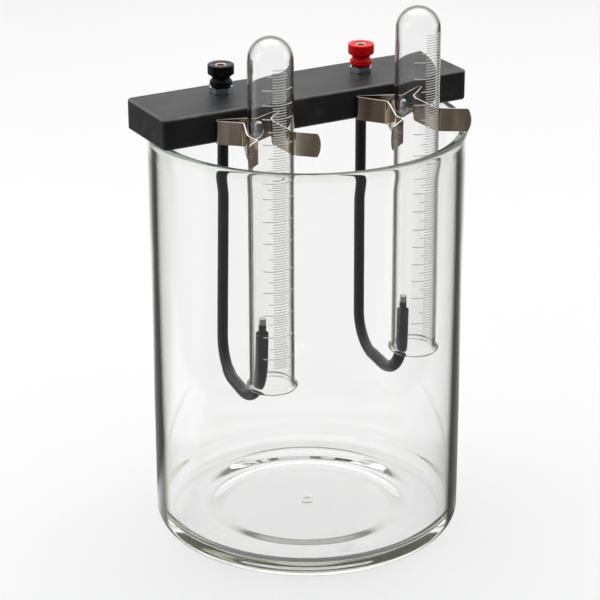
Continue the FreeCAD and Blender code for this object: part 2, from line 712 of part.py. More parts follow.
for side in ("left", "right"):
    z0 = D("strip_bottom")
    PATH = PATHS[side]
    screw_x, screw_up = D(side + "_screw_x"), D(side + "_screw_up")
    route = new_sketch(None, "strip_route_" + side, None)
    pts = [(D("clip_%s_%s_x" % (side, nm)), D("clip_%s_%s_y" % (side, nm)),
            D("clip_%s_%s_bend" % (side, nm)) if pr else None) for nm, px, py, pr in PATH]
    strip_route(route, pts)
    doc.recompute()
    wide = add("Part::Offset2D", "strip_section_" + side)
    wide.Source = route
    wide.Value = NUM["strip_thick"] / 2
    wide.setExpression("Value", "Dims.strip_thick / 2")
    wide.Mode = "Pipe"
    wide.Join = "Arc"
    wide.Fill = True
    doc.recompute()
    strip = add("Part::Extrusion", "strip_" + side)
    strip.Base = wide
    strip.DirMode = "Custom"
    strip.Dir = V(0, 0, 1)
    strip.LengthFwd = NUM["strip_height"]
    strip.setExpression("LengthFwd", "Dims.strip_height")
    strip.Solid = True
    doc.recompute()
    hole = add("Part::Cylinder", "strip_hole_" + side)
    hole.Radius = NUM["strip_hole_radius"]
    hole.setExpression("Radius", "Dims.strip_hole_radius")
    hole.Height = 9.0
    vee_y = D("clip_%s_vee_y" % side)
    hole.Placement = FreeCAD.Placement(V(screw_x.v, vee_y.v + 4.5, screw_up.v), FreeCAD.Rotation(V(1, 0, 0), 90))
    hole.setExpression("Placement.Base.x", screw_x.t)
    hole.setExpression("Placement.Base.y", (vee_y + 4.5).t)
    hole.setExpression("Placement.Base.z", screw_up.t)
    cutters = [hole]
    # rounded ends of the two finger tabs
    for tab, neck in (("tab_l", "neck_l"), ("tab_r", "neck_r")):
        ex, ey = NUM["clip_%s_%s_x" % (side, tab)], NUM["clip_%s_%s_y" % (side, tab)]
        nx, ny = NUM["clip_%s_%s_x" % (side, neck)], NUM["clip_%s_%s_y" % (side, neck)]
        yaw = math.degrees(math.atan2(ey - ny, ex - nx))
        u = V(math.cos(math.radians(yaw)), math.sin(math.radians(yaw)), 0)
        rad = 10.5
        box = add("Part::Box", "tab_end_%s_%s" % (tab, side))
        box.Length, box.Width, box.Height = 6.0, 6.0, NUM["strip_height"] + 2
        box.setExpression("Height", "Dims.strip_height + 2")
        c = V(ex, ey, 0) - u * 3.4 - V(-u.y, u.x, 0) * 3.0
        box.Placement = FreeCAD.Placement(V(c.x, c.y, -1), FreeCAD.Rotation(V(0, 0, 1), yaw))
        cyl = add("Part::Cylinder", "tab_round_%s_%s" % (tab, side))
        cyl.Radius = rad
        cyl.Height = 12.0
        m = V(ex, ey, 0) - u * rad - V(-u.y, u.x, 0) * 6.0
        rot = FreeCAD.Rotation(V(0, 0, 1), yaw) * FreeCAD.Rotation(V(1, 0, 0), -90)
        cyl.Placement = FreeCAD.Placement(V(m.x, m.y, NUM["strip_height"] / 2), rot)
        cyl.setExpression("Placement.Base.z", "Dims.strip_height / 2")
        cut = add("Part::Cut", "tab_trim_%s_%s" % (tab, side))
        cut.Base, cut.Tool = box, cyl
        cutters.append(cut)
    allc = add("Part::MultiFuse", "strip_cutters_" + side)
    allc.Shapes = cutters
    clip = add("Part::Cut", "tube_clip_" + side)
    clip.Base, clip.Tool = strip, allc
    clip.Label = "tube_clip_" + side
    doc.recompute()
    place(clip, 0, 0, z0)
    SUBPARTS.append(clip)
    # pan-head screw through the middle of the strip into the bar
    b = new_body("clip_screw_" + side)
    hr, hh, sl, sr = D("screw_head_radius"), D("screw_head_height"), D("screw_length"), D("screw_shank_radius")
    f = revolve(b, "screw_" + side, [
        (0, 0), (hr * 0.45, 0.12), (hr * 0.8, 0.55), (hr, 1.35), (hr, hh), (sr, hh), (sr, hh + sl - 1.6),
        (sr * 0.35, hh + sl), (0, hh + sl)])
    s = new_sketch(b, "slot_" + side, "XY_Plane")
    outline(s, [(-5, -0.5), (5, -0.5), (5, 0.5), (-5, 0.5)])
    doc.recompute()
    pocket(b, "slot_cut_" + side, s, 1.1, True)
    b.Placement = FreeCAD.Placement(V(0, 0, 0), FreeCAD.Rotation(V(1, 0, 0), -90))
    i = [p[0] for p in PATH].index("vee")
    (ax, ay), (vx, vy), (ex, ey) = [(p[1], p[2]) for p in PATH[i - 1:i + 2]]
    half = (math.atan2(ay - vy, vx - ax) + math.atan2(ey - vy, ex - vx)) / 2
    head_y = vee_y + D("clip_%s_vee_bend" % side) * (1 / math.cos(half) - 1) - D("strip_thick") / 2 - 0.1 - hh
    for axis, val in (("x", screw_x), ("y", head_y), ("z", z0 + screw_up)):
        b.setExpression("Placement.Base.%s" % axis, val.t)

doc.recompute()

# ---------------------------------------------------------------- write files
for o in doc.Objects:
    for bad in ("Invalid", "Error"):
        if bad in o.State:
            raise RuntimeError("%s is %s" % (o.Name, bad))
os.makedirs("parts", exist_ok=True)
names = set()
for o in SUBPARTS:
    sh = o.Shape
    if sh.isNull() or not sh.isValid():
        raise RuntimeError("bad shape in %s" % o.Label)
    if o.Label in names:
        raise RuntimeError("two sub-parts named %s" % o.Label)
    names.add(o.Label)
for o in SUBPARTS:
    sh = o.Shape
    bb = sh.BoundBox
    print("%-26s solids %d  volume %9.1f  x %7.2f %7.2f  y %7.2f %7.2f  z %7.2f %7.2f" % (
        o.Label, len(sh.Solids), sh.Volume, bb.XMin, bb.XMax, bb.YMin, bb.YMax, bb.ZMin, bb.ZMax))
    sh.exportStep("parts/%s.step" % o.Label)
print(len(SUBPARTS), "sub-parts")
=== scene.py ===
import bpy
import bmesh
import json
import math
from mathutils import Matrix, Vector


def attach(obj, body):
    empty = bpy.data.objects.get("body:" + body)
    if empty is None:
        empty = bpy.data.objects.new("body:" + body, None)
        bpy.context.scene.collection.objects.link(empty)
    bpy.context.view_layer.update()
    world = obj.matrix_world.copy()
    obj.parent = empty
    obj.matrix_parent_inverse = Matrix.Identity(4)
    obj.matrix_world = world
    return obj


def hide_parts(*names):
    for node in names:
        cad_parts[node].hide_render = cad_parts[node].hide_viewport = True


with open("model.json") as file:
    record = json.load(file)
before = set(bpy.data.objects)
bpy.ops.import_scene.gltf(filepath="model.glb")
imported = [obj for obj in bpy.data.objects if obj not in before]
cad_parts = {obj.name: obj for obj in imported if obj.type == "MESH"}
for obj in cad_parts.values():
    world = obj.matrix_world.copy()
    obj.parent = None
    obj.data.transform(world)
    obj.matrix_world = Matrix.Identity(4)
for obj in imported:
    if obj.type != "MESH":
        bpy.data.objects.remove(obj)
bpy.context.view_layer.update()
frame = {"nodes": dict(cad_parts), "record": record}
nodes = frame["nodes"]
MM = 0.001

# Heights and axes shared with the CAD frame, in millimetres.
BLACK = (-35.4, 19.5)
RED = (39.8, 16.8)
TUBES = {"left": (-39.1, -36.95, 92.35), "right": (36.6, -40.3, 97.1)}
TO_VIEW = (-0.4843, -0.8749)     # from the object towards the viewer, seen from above
TO_RIGHT = (0.8749, -0.4843)


# ------------------------------------------------------------------ node helpers
class Mat(object):
    """a procedural material, built round one Principled shader"""

    def __init__(self, name):
        self.m = bpy.data.materials.new(name)
        self.m.use_nodes = True
        self.t = self.m.node_tree
        self.b = next(n for n in self.t.nodes if n.type == "BSDF_PRINCIPLED")
        self.out = next(n for n in self.t.nodes if n.type == "OUTPUT_MATERIAL")

    def new(self, kind, **props):
        n = self.t.nodes.new(kind)
        for k, v in props.items():
            setattr(n, k, v)
        return n

    def link(self, a, b):
        self.t.links.new(a, b)

    def put(self, key, value):
        self.b.inputs[key].default_value = value

    def coord(self, stretch=(1, 1, 1), which="Object"):
        c = self.new("ShaderNodeTexCoord")
        mp = self.new("ShaderNodeMapping")
        mp.inputs["Scale"].default_value = stretch
        self.link(c.outputs[which], mp.inputs["Vector"])
        return mp.outputs["Vector"]

    def noise(self, scale, detail=4.0, rough=0.55, stretch=(1, 1, 1)):
        n = self.new("ShaderNodeTexNoise")
        n.inputs["Scale"].default_value = scale
        n.inputs["Detail"].default_value = detail
        n.inputs["Roughness"].default_value = rough
        self.link(self.coord(stretch), n.inputs["Vector"])
        return n.outputs["Fac"]

    def math(self, op, a, b=None, clamp=False):
        n = self.new("ShaderNodeMath", operation=op)
        n.use_clamp = clamp
        for i, v in enumerate((a, b)):
            if v is None:
                continue
            if isinstance(v, (int, float)):
                n.inputs[i].default_value = v
            else:
                self.link(v, n.inputs[i])
        return n.outputs[0]

    def ramp(self, fac, stops):
        r = self.new("ShaderNodeValToRGB")
        el = r.color_ramp.elements
        while len(el) < len(stops):
            el.new(0.5)
        for e, (p, c) in zip(el, stops):
            e.position = p
            e.color = tuple(c) + (1.0,) if len(c) == 3 else c
        self.link(fac, r.inputs["Fac"])
        return r.outputs["Color"]

    def grey(self, fac, stops):
        return self.ramp(fac, [(p, (v, v, v)) for p, v in stops])

    def mix(self, fac, a, b):
        n = self.new("ShaderNodeMix", data_type="RGBA")
        for sock, v in ((n.inputs[0], fac), (n.inputs[6], a), (n.inputs[7], b)):
            if isinstance(v, (int, float)):
                sock.default_value = v
            elif isinstance(v, tuple):
                sock.default_value = v + (1.0,)
            else:
                self.link(v, sock)
        return n.outputs[2]

    def bump(self, *layers):
        """layers of (height, strength, distance in metres)"""
        last = None
        for h, s, d in layers:
            n = self.new("ShaderNodeBump")
            n.inputs["Strength"].default_value = s
            n.inputs["Distance"].default_value = d
            self.link(h, n.inputs["Height"])
            if last is not None:
                self.link(last, n.inputs["Normal"])
            last = n.outputs["Normal"]
        self.link(last, self.b.inputs["Normal"])

    def normal_xyz(self):
        c = self.new("ShaderNodeTexCoord")
        s = self.new("ShaderNodeSeparateXYZ")
        self.link(c.outputs["Normal"], s.inputs[0])
        return s.outputs

    def place_xyz(self):
        c = self.new("ShaderNodeTexCoord")
        s = self.new("ShaderNodeSeparateXYZ")
        self.link(c.outputs["Object"], s.inputs[0])
        return s.outputs

    def pass_light(self, tint):
        """lets light through to what stands behind, so clear glass throws only a faint shadow"""
        lp = self.new("ShaderNodeLightPath")
        fac = self.math("MAXIMUM", lp.outputs["Is Shadow Ray"], lp.outputs["Is Diffuse Ray"])
        # broad reflections from the matt pieces inside go straight out as well
        broad = self.math("MULTIPLY", lp.outputs["Is Glossy Ray"],
                          self.math("SUBTRACT", 1.0, lp.outputs["Is Singular Ray"]))
        broad = self.math("MULTIPLY", broad, self.math("SUBTRACT", 1.0, lp.outputs["Is Transmission Ray"]))
        fac = self.math("MAXIMUM", fac, broad)
        tr = self.new("ShaderNodeBsdfTransparent")
        tr.inputs["Color"].default_value = tuple(tint) + (1.0,)
        mx = self.new("ShaderNodeMixShader")
        self.link(fac, mx.inputs[0])
        self.link(self.b.outputs[0], mx.inputs[1])
        self.link(tr.outputs[0], mx.inputs[2])
        # light that has run along inside the wall leaves it with the olive tint of thick glass
        geo = self.new("ShaderNodeNewGeometry")
        high = self.math("GREATER_THAN", self.place_xyz()[2], 0.15)
        often = self.math("SUBTRACT", 5.5, self.math("MULTIPLY", high, 3.0))
        trapped = self.math("MULTIPLY", self.math("GREATER_THAN", lp.outputs["Glossy Depth"], often),
                            geo.outputs["Backfacing"])
        olive = self.new("ShaderNodeBsdfTransparent")
        self.link(self.mix(high, (0.84, 0.85, 0.78), (0.50, 0.56, 0.45)), olive.inputs["Color"])
        m2 = self.new("ShaderNodeMixShader")
        self.link(trapped, m2.inputs[0])
        self.link(mx.outputs[0], m2.inputs[1])
        self.link(olive.outputs[0], m2.inputs[2])
        self.link(m2.outputs[0], self.out.inputs["Surface"])


# --------------------------------------------------------------------- materials
def make_bar():
    m = Mat("bar_moulding")
    n = m.normal_xyz()
    fine = m.noise(1400, 3, 0.6)
    cloud = m.noise(26, 5, 0.6, (1, 1.6, 1))
    scuff = m.noise(160, 6, 0.7, (0.35, 2.2, 1))
    ax, ay, az = (m.math("ABSOLUTE", n[i]) for i in range(3))
    side = m.math("MAXIMUM", ax, ay)
    edge = m.math("MULTIPLY", m.math("MULTIPLY", side, az), 2.0, True)
    # painted highlight: a light grey mixed into the colour along the rounded edges, broken up by noise, stands in for
    # the light line the edges catch
    painted_edge_highlight = m.math("MULTIPLY", edge, m.grey(m.noise(90, 4, 0.7), [(0.30, 0.25), (0.70, 1.0)]), True)
    base = m.ramp(cloud, [(0.32, (0.010, 0.0102, 0.0113)), (0.68, (0.027, 0.0274, 0.0292))])
    base = m.mix(m.grey(scuff, [(0.52, 0.0), (0.74, 0.60)]), base, (0.070, 0.070, 0.072))
    col = m.mix(m.math("MULTIPLY", painted_edge_highlight, 0.85), base, (0.24, 0.237, 0.232))
    m.link(col, m.b.inputs["Base Color"])
    m.link(m.grey(cloud, [(0.25, 0.50), (0.80, 0.40)]), m.b.inputs["Roughness"])
    m.put("Specular IOR Level", 0.40)
    m.bump((fine, 0.16, 0.00012), (scuff, 0.14, 0.0002))
    return m.m


def make_glass(name, edge, clear, axis, walls_only=None, rim=None, shadow=0.965):
    """clear glass round an upright axis; edge gives how much light gets through the outer skin as it turns side-on:
    painted shade, a dark edge standing in for the dark surroundings seen in the side of the glass, with only a little
    of it from the long way through the wall"""
    m = Mat(name)
    m.put("Transmission Weight", 1.0)
    m.put("IOR", 1.47)
    m.put("Roughness", 0.0)
    lw = m.new("ShaderNodeLayerWeight")
    lw.inputs["Blend"].default_value = 0.5

    def painted_edge_shade(stops):
        return m.ramp(lw.outputs["Facing"], [
            (p, (v * clear[0], v * (0.90 + 0.10 * v) * clear[1], v * (0.77 + 0.23 * v) * clear[2])) for p, v in stops])
    n, q = m.normal_xyz(), m.place_xyz()
    out = m.math("ADD", m.math("MULTIPLY", n[0], m.math("SUBTRACT", q[0], axis[0] * MM)),
                 m.math("MULTIPLY", n[1], m.math("SUBTRACT", q[1], axis[1] * MM)))
    geo = m.new("ShaderNodeNewGeometry")
    skin = m.math("MULTIPLY", m.math("GREATER_THAN", out, 0.0),
                  m.math("SUBTRACT", 1.0, geo.outputs["Backfacing"]))
    # painted shade: the outer skin darkens by its facing angle, standing in for the dark surroundings seen in the
    # glass edges
    col = m.mix(skin, clear, painted_edge_shade(edge))
    if walls_only:
        upright = m.grey(m.math("ABSOLUTE", n[2]), [(0.25, 0.0), (0.55, 1.0)])
        col = m.mix(upright, col, clear)
        # painted shade on the jar's floor: upward-facing skin inside r 61 mm gets its own dark ramp by facing,
        # standing in for the dark surroundings seen in the sloped swell
        up = m.math("MULTIPLY", m.grey(m.math("ABSOLUTE", n[2]), [(0.45, 0.0), (0.70, 1.0)]),
                    m.math("SUBTRACT", 1.0, geo.outputs["Backfacing"]))
        rr = m.math("ADD", m.math("MULTIPLY", q[0], q[0]), m.math("MULTIPLY", q[1], q[1]))
        up = m.math("MULTIPLY", up, m.math("LESS_THAN", rr, (61.0 * MM) ** 2))
        col = m.mix(up, col, painted_edge_shade(walls_only))
    if rim:
        z0, z1, stops = rim
        rise = m.new("ShaderNodeMapRange")
        rise.inputs["From Min"].default_value = z0 * MM
        rise.inputs["From Max"].default_value = z1 * MM
        m.link(q[2], rise.inputs["Value"])
        col = m.mix(m.grey(rise.outputs[0], [(0.0, 0.0), (0.15, 1.0)]), col, m.ramp(rise.outputs[0], stops))
    m.link(col, m.b.inputs["Base Color"])
    wave = m.noise(9, 1, 0.4, (1, 1, 0.3))
    m.bump((wave, 0.05, 0.0003),)
    m.pass_light((shadow, shadow, shadow))
    return m.m


def make_zinc():
    m = Mat("blue_zinc_plate")
    m.put("Metallic", 1.0)
    n = m.noise(420, 4, 0.6)
    patch = m.noise(70, 3, 0.5)
    m.link(m.ramp(patch, [(0.3, (0.56, 0.65, 0.75)), (0.55, (0.70, 0.79, 0.88)), (0.78, (0.80, 0.85, 0.90))]),
           m.b.inputs["Base Color"])
    m.link(m.grey(n, [(0.2, 0.12), (0.8, 0.24)]), m.b.inputs["Roughness"])
    m.bump((m.noise(900, 2, 0.5, (1, 1, 0.2)), 0.10, 0.00006),)
    return m.m


def make_cap(name, lo, hi, rough, coat, spec):
    m = Mat(name)
    grain = m.noise(900, 3, 0.6)
    mott = m.noise(110, 4, 0.6)
    m.link(m.ramp(mott, [(0.3, lo), (0.75, hi)]), m.b.inputs["Base Color"])
    m.link(m.grey(mott, [(0.25, rough + 0.06), (0.8, rough - 0.05)]), m.b.inputs["Roughness"])
    m.put("Specular IOR Level", spec)
    m.put("Coat Weight", coat)
    m.bump((grain, 0.10, 0.00008),)
    return m.m


def make_brass():
    m = Mat("turned_brass")
    m.put("Metallic", 1.0)
    n = m.noise(300, 3, 0.5)
    m.link(m.ramp(n, [(0.3, (0.78, 0.64, 0.38)), (0.7, (0.93, 0.82, 0.58))]), m.b.inputs["Base Color"])
    m.link(m.grey(n, [(0.2, 0.16), (0.8, 0.30)]), m.b.inputs["Roughness"])
    m.bump((m.noise(1200, 2, 0.5, (0.2, 0.2, 1)), 0.10, 0.00005),)
    return m.m


def make_core():
    m = Mat("copper_wire")
    m.put("Metallic", 1.0)
    n = m.noise(500, 3, 0.5, (1, 1, 0.15))
    m.link(m.ramp(n, [(0.3, (0.50, 0.24, 0.13)), (0.7, (0.78, 0.44, 0.28))]), m.b.inputs["Base Color"])
    m.put("Roughness", 0.3)
    m.bump((n, 0.1, 0.00005),)
    return m.m


def make_sleeve(name, dark, light, rough):
    m = Mat(name)
    n = m.noise(240, 4, 0.6, (1, 1, 0.25))
    fine = m.noise(1500, 2, 0.5)
    m.link(m.ramp(n, [(0.3, dark), (0.8, light)]), m.b.inputs["Base Color"])
    m.link(m.grey(n, [(0.25, rough + 0.06), (0.8, rough - 0.07)]), m.b.inputs["Roughness"])
    m.put("Specular IOR Level", 0.5)
    m.put("Sheen Weight", 0.05)
    m.bump((fine, 0.08, 0.00006), (n, 0.10, 0.00015))
    return m.m


def make_tip():
    m = Mat("bright_tip_metal")
    m.put("Metallic", 1.0)
    n = m.noise(700, 3, 0.6, (1, 1, 0.2))
    m.link(m.ramp(n, [(0.30, (0.42, 0.36, 0.30)), (0.55, (0.74, 0.70, 0.64)), (0.75, (0.86, 0.84, 0.80))]),
           m.b.inputs["Base Color"])
    m.link(m.grey(n, [(0.2, 0.20), (0.8, 0.38)]), m.b.inputs["Roughness"])
    m.bump((n, 0.25, 0.0001),)
    return m.m


def make_clip():
    m = Mat("nickel_bronze_spring")
    m.put("Metallic", 1.0)
    nx = m.normal_xyz()
    # painted reflections: the faces run from dark to light bronze in patches and vertical streaks, standing in for the
    # surroundings mirrored in the bent strip
    streak = m.noise(230, 5, 0.6, (1, 1, 0.10))
    cloud = m.noise(85, 2, 0.5, (1, 1, 0.12))
    face = m.ramp(cloud, [(0.36, (0.27, 0.20, 0.135)), (0.52, (0.47, 0.37, 0.27)), (0.66, (0.82, 0.72, 0.58))])
    face = m.mix(m.grey(streak, [(0.55, 0.0), (0.80, 0.50)]), face, (0.86, 0.78, 0.67))
    # painted highlight: the strip's cut edges, facing up and down, are made light cream for the light they catch; they
    # are also rougher
    cut_edge_glint = m.grey(m.math("ABSOLUTE", nx[2]), [(0.55, 0.0), (0.80, 1.0)])
    m.link(m.mix(cut_edge_glint, face, (1.0, 0.95, 0.87)), m.b.inputs["Base Color"])
    rough = m.grey(streak, [(0.2, 0.09), (0.8, 0.17)])
    m.link(m.mix(cut_edge_glint, rough, (0.42, 0.42, 0.42)), m.b.inputs["Roughness"])
    m.bump((m.noise(75, 2, 0.5, (1, 1, 0.15)), 0.35, 0.0008), (streak, 0.05, 0.00006))
    return m.m


def make_mark():
    m = Mat("white_scale_enamel")
    n = m.noise(900, 3, 0.6)
    m.link(m.ramp(n, [(0.25, (0.62, 0.62, 0.60)), (0.75, (0.86, 0.855, 0.83))]), m.b.inputs["Base Color"])
    m.link(m.grey(n, [(0.2, 0.5), (0.8, 0.7)]), m.b.inputs["Roughness"])
    # painted light: the enamel glows a little, standing in for light from behind scattered through the marks
    m.put("Emission Color", (1.0, 0.985, 0.95, 1.0))
    m.put("Emission Strength", 0.20)
    m.bump((n, 0.2, 0.00003),)
    return m.m


def make_floor():
    m = Mat("pale_floor")
    n = m.noise(3.0, 4, 0.5)
    fine = m.noise(220, 3, 0.5)
    m.link(m.ramp(n, [(0.3, (0.865, 0.865, 0.865)), (0.7, (0.885, 0.885, 0.885))]), m.b.inputs["Base Color"])
    m.link(m.grey(n, [(0.2, 0.55), (0.8, 0.65)]), m.b.inputs["Roughness"])
    m.put("Specular IOR Level", 0.25)
    m.bump((fine, 0.03, 0.0002),)
    m.b.inputs["Emission Color"].default_value = (1, 1, 1, 1)
    m.b.inputs["Emission Strength"].default_value = 0.07
    far = m.new("ShaderNodeVectorMath", operation="LENGTH")
    m.link(m.coord(), far.inputs[0])
    glow = m.new("ShaderNodeMapRange")
    glow.inputs["From Min"].default_value = 1.2
    glow.inputs["From Max"].default_value = 3.2
    glow.inputs["To Min"].default_value = 0.035
    glow.inputs["To Max"].default_value = 0.40
    m.link(far.outputs["Value"], glow.inputs["Value"])
    m.link(glow.outputs[0], m.b.inputs["Emission Strength"])
    lp = m.new("ShaderNodeLightPath")
    dim = m.new("ShaderNodeBsdfDiffuse")
    dim.inputs["Color"].default_value = (0.20, 0.20, 0.20, 1)
    mx = m.new("ShaderNodeMixShader")
    # white where it is seen directly or through glass, and behind the object; what the side
    # towards the viewer sends back on to the object is dimmer, as in a dark room
    shown = m.math("MAXIMUM", lp.outputs["Is Camera Ray"], lp.outputs["Is Transmission Ray"])
    sent_back = m.math("ADD", lp.outputs["Glossy Depth"], lp.outputs["Diffuse Depth"])
    shown = m.math("MULTIPLY", shown, m.math("LESS_THAN", sent_back, 0.5))
    q = m.place_xyz()
    away = m.math("ADD", m.math("SQRT", m.math("ADD", m.math("MULTIPLY", q[0], q[0]),
                                               m.math("MULTIPLY", q[1], q[1]))), 0.001)
    behind = m.math("ADD", m.math("MULTIPLY", q[0], -TO_VIEW[0]), m.math("MULTIPLY", q[1], -TO_VIEW[1]))
    behind = m.math("DIVIDE", behind, away)
    beside = m.math("ADD", m.math("MULTIPLY", q[0], -TO_RIGHT[0]), m.math("MULTIPLY", q[1], -TO_RIGHT[1]))
    beside = m.grey(m.math("DIVIDE", beside, away), [(0.93, 0.0), (0.975, 0.8)])
    rise = m.new("ShaderNodeMapRange")
    rise.interpolation_type = "SMOOTHSTEP"
    rise.inputs["From Min"].default_value = 0.76
    rise.inputs["From Max"].default_value = 0.90
    m.link(behind, rise.inputs["Value"])
    m.link(m.math("MAXIMUM", shown, m.math("MAXIMUM", beside, rise.outputs[0])), mx.inputs[0])
    m.link(dim.outputs[0], mx.inputs[1])
    m.link(m.b.outputs[0], mx.inputs[2])
    m.link(mx.outputs[0], m.out.inputs["Surface"])
    return m.m


MAT = {
    "bar_black": make_bar(),
    "zinc_steel": make_zinc(),
    "cap_black": make_cap("black_cap_moulding", (0.004, 0.0038, 0.0036), (0.007, 0.0066, 0.0062), 0.25, 0.0, 0.18),
    "cap_red": make_cap("red_cap_moulding", (0.84, 0.002, 0.003), (0.96, 0.006, 0.006), 0.34, 0.0, 0.16),
    "brass": make_brass(),
    "core_wire": make_core(),
    "sleeve_black": make_sleeve("sleeve_insulation", (0.008, 0.008, 0.0083), (0.016, 0.0157, 0.0153), 0.36),
    "neck_white": make_sleeve("neck_insulation", (0.010, 0.010, 0.0105), (0.018, 0.018, 0.018), 0.45),
    "tip_metal": make_tip(),
    "clip_spring": make_clip(),
    # jar glass: a painted dark edge ramp by facing for the walls, a second painted dark ramp for the floor's swell,
    # then the rim's olive by height
    "jar_glass": make_glass("jar_glass_clear", [
        (0.43, 1.0), (0.55, 0.99), (0.60, 0.96), (0.64, 0.90), (0.66, 0.78), (0.68, 0.46), (0.70, 0.20),
        (0.712, 0.060), (0.73, 0.002), (0.745, 0.002), (0.77, 0.008), (0.80, 0.012), (0.83, 0.058), (0.87, 0.28),
        (0.93, 0.52), (1.0, 0.67)], (1.0, 1.0, 0.998), (0, 0), [
        (0.57, 1.0), (0.61, 0.98), (0.645, 0.90), (0.665, 0.55), (0.678, 0.02), (0.690, 0.02), (0.706, 0.22),
        (0.74, 0.13), (0.80, 0.10), (0.90, 0.3), (1.0, 0.5)], (202.2, 206.7, [
            (0.0, (0.96, 0.965, 0.955)), (0.70, (0.92, 0.935, 0.90)), (0.86, (0.78, 0.82, 0.74)),
            (0.97, (0.62, 0.68, 0.56))])),
    "tube_glass": None,
}
# painted dark edge ramp by facing for the tubes' glass
TUBE_EDGE = [(0.28, 1.0), (0.36, 0.88), (0.42, 0.66), (0.465, 0.34), (0.525, 0.11), (0.60, 0.015), (0.70, 0.14),
             (0.85, 0.42), (1.0, 0.65)]
TUBE_GLASS = {side: make_glass("tube_glass_clear_" + side, TUBE_EDGE, (1.0, 1.0, 0.998), at[:2])
              for side, at in TUBES.items()}
slot_of = {s["node"]: s["material_slot"] for s in frame["record"]["subparts"]}
for name, o in nodes.items():
    mat = MAT[slot_of[name]] or TUBE_GLASS["right" if name.endswith("right") else "left"]
    if not o.material_slots:
        o.data.materials.append(mat)
    for s in o.material_slots:
        s.material = mat


# ------------------------------------------------------------------ mesh helpers
def arc(cx, cz, r, a0, a1, n=10):
    return [(cx + r * math.cos(math.radians(a0 + (a1 - a0) * i / n)),
             cz + r * math.sin(math.radians(a0 + (a1 - a0) * i / n))) for i in range(n + 1)]


def lathe(name, profile, at, segs=96, sharp=40.0):
    """closed solid of revolution; the profile runs anticlockwise in (r, z), millimetres"""
    bm = bmesh.new()
    rings = []
    pts = []
    for p in profile:
        if not pts or math.hypot(p[0] - pts[-1][0], p[1] - pts[-1][1]) > 1e-5:
            pts.append(p)
    if math.hypot(pts[0][0] - pts[-1][0], pts[0][1] - pts[-1][1]) < 1e-5:
        pts.pop()
    for r, z in pts:
        if r < 1e-6:
            rings.append([bm.verts.new(((at[0]) * MM, (at[1]) * MM, (at[2] + z) * MM))])
        else:
            rings.append([bm.verts.new(((at[0] + r * math.cos(2 * math.pi * i / segs)) * MM,
                                        (at[1] + r * math.sin(2 * math.pi * i / segs)) * MM,
                                        (at[2] + z) * MM)) for i in range(segs)])
    k = len(rings)
    for j in range(k):
        a, b = rings[j], rings[(j + 1) % k]
        if len(a) == 1 and len(b) == 1:
            continue
        for i in range(segs):
            i2 = (i + 1) % segs
            if len(a) == 1:
                bm.faces.new((a[0], b[i2], b[i]))
            elif len(b) == 1:
                bm.faces.new((a[i], a[i2], b[0]))
            else:
                bm.faces.new((a[i], a[i2], b[i2], b[i]))
    bmesh.ops.recalc_face_normals(bm, faces=bm.faces[:])
    me = bpy.data.meshes.new(name)
    bm.to_mesh(me)
    bm.free()
    for p in me.polygons:
        p.use_smooth = True
    me.set_sharp_from_angle(angle=math.radians(sharp))
    o = bpy.data.objects.new(name, me)
    bpy.context.scene.collection.objects.link(o)
    return o


def wear(o, slot, body, *replaced):
    o.data.materials.append(MAT[slot] or TUBE_GLASS[body.split("_")[0]])
    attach(o, body)
    if replaced:
        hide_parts(*replaced)
    return o


# --------------------------------------------------------------------- glass jar
H = 206.7
prof = [(0, 0.25), (58, 0.25), (61, 0.0)] + arc(69, 7, 7, -90, 0, 16) + [
    (76, 60), (76, 140), (76, H - 12.5), (76.1, H - 9.5), (76.35, H - 6.5), (76.7, H - 4.0), (76.95, H - 2.2)]
prof += arc(75.65, H - 1.35, 1.35, 0, 90, 8) + arc(74.1, H - 1.1, 1.1, 90, 180, 8)
prof += [(73, 140), (73, 60)] + arc(65.5, 14.5, 7.5, 0, -90, 16)
# the pressed floor: flat in the middle, a low swell with its crest near r = 54, then the heel
def swell(r):
    if r >= 54.0:
        return 0.45 * 0.5 * (1 + math.cos(math.pi * min(1.0, (r - 54.0) / 4.5)))
    k = int(round((54.0 - max(r, 41.0)) / 0.5))
    return 0.45 - sum(0.5 * math.tan(math.radians(12.6 * (1 - ((53.75 - 0.5 * t - 47.5) / 6.5) ** 4)))
                      for t in range(k))


slope = [(r, 7.0 + swell(r)) for r in (63.0 - 0.5 * i for i in range(46))]
prof = [q for q in prof if not (q[0] < 65.6 and q[1] > 6.0)] + [(65.5, 7.0)] + slope
zm = slope[-1][1]
prof += [(r, zm + 0.05 * math.sin((40.0 - r) / 34.0 * 2.5 * 2 * math.pi)) for r in (39.0 - k for k in range(33))]
prof += [(4.4, zm), (3.9, zm - 0.03), (3.3, zm - 0.17), (2.6, zm - 0.37), (1.8, zm - 0.56), (0.9, zm - 0.66),
         (0, zm - 0.68)]
wear(lathe("jar_clear_glass", prof, (0, 0, 0), 288, 60), "jar_glass", "jar", "glass_jar")

# --------------------------------------------------------------------- gas tubes
TL, TR, TI = 171.35, 10.6, 9.4
for side, (x, y, z) in TUBES.items():
    p = [(9.95, 0.9), (10.2, 0.3)] + [(10.55, 0.02), (11.2, 0.0)]
    p += arc(11.0, 1.45, 1.1, -70, 75, 10)
    p += [(11.05, 2.85), (10.75, 3.7), (10.6, 4.6), (TR, 60), (TR, 120)]
    p += arc(0, TL - TR, TR, 0, 90, 24)
    p += arc(0, TL - TR, TI, 90, 0, 24)
    p += [(TI, 120), (TI, 60), (9.4, 3.6), (9.55, 2.4), (9.72, 1.6)]
    wear(lathe("tube_clear_glass_" + side, p, (x, y, z), 128, 60), "tube_glass", side + "_tube",
         "gas_tube_" + side)


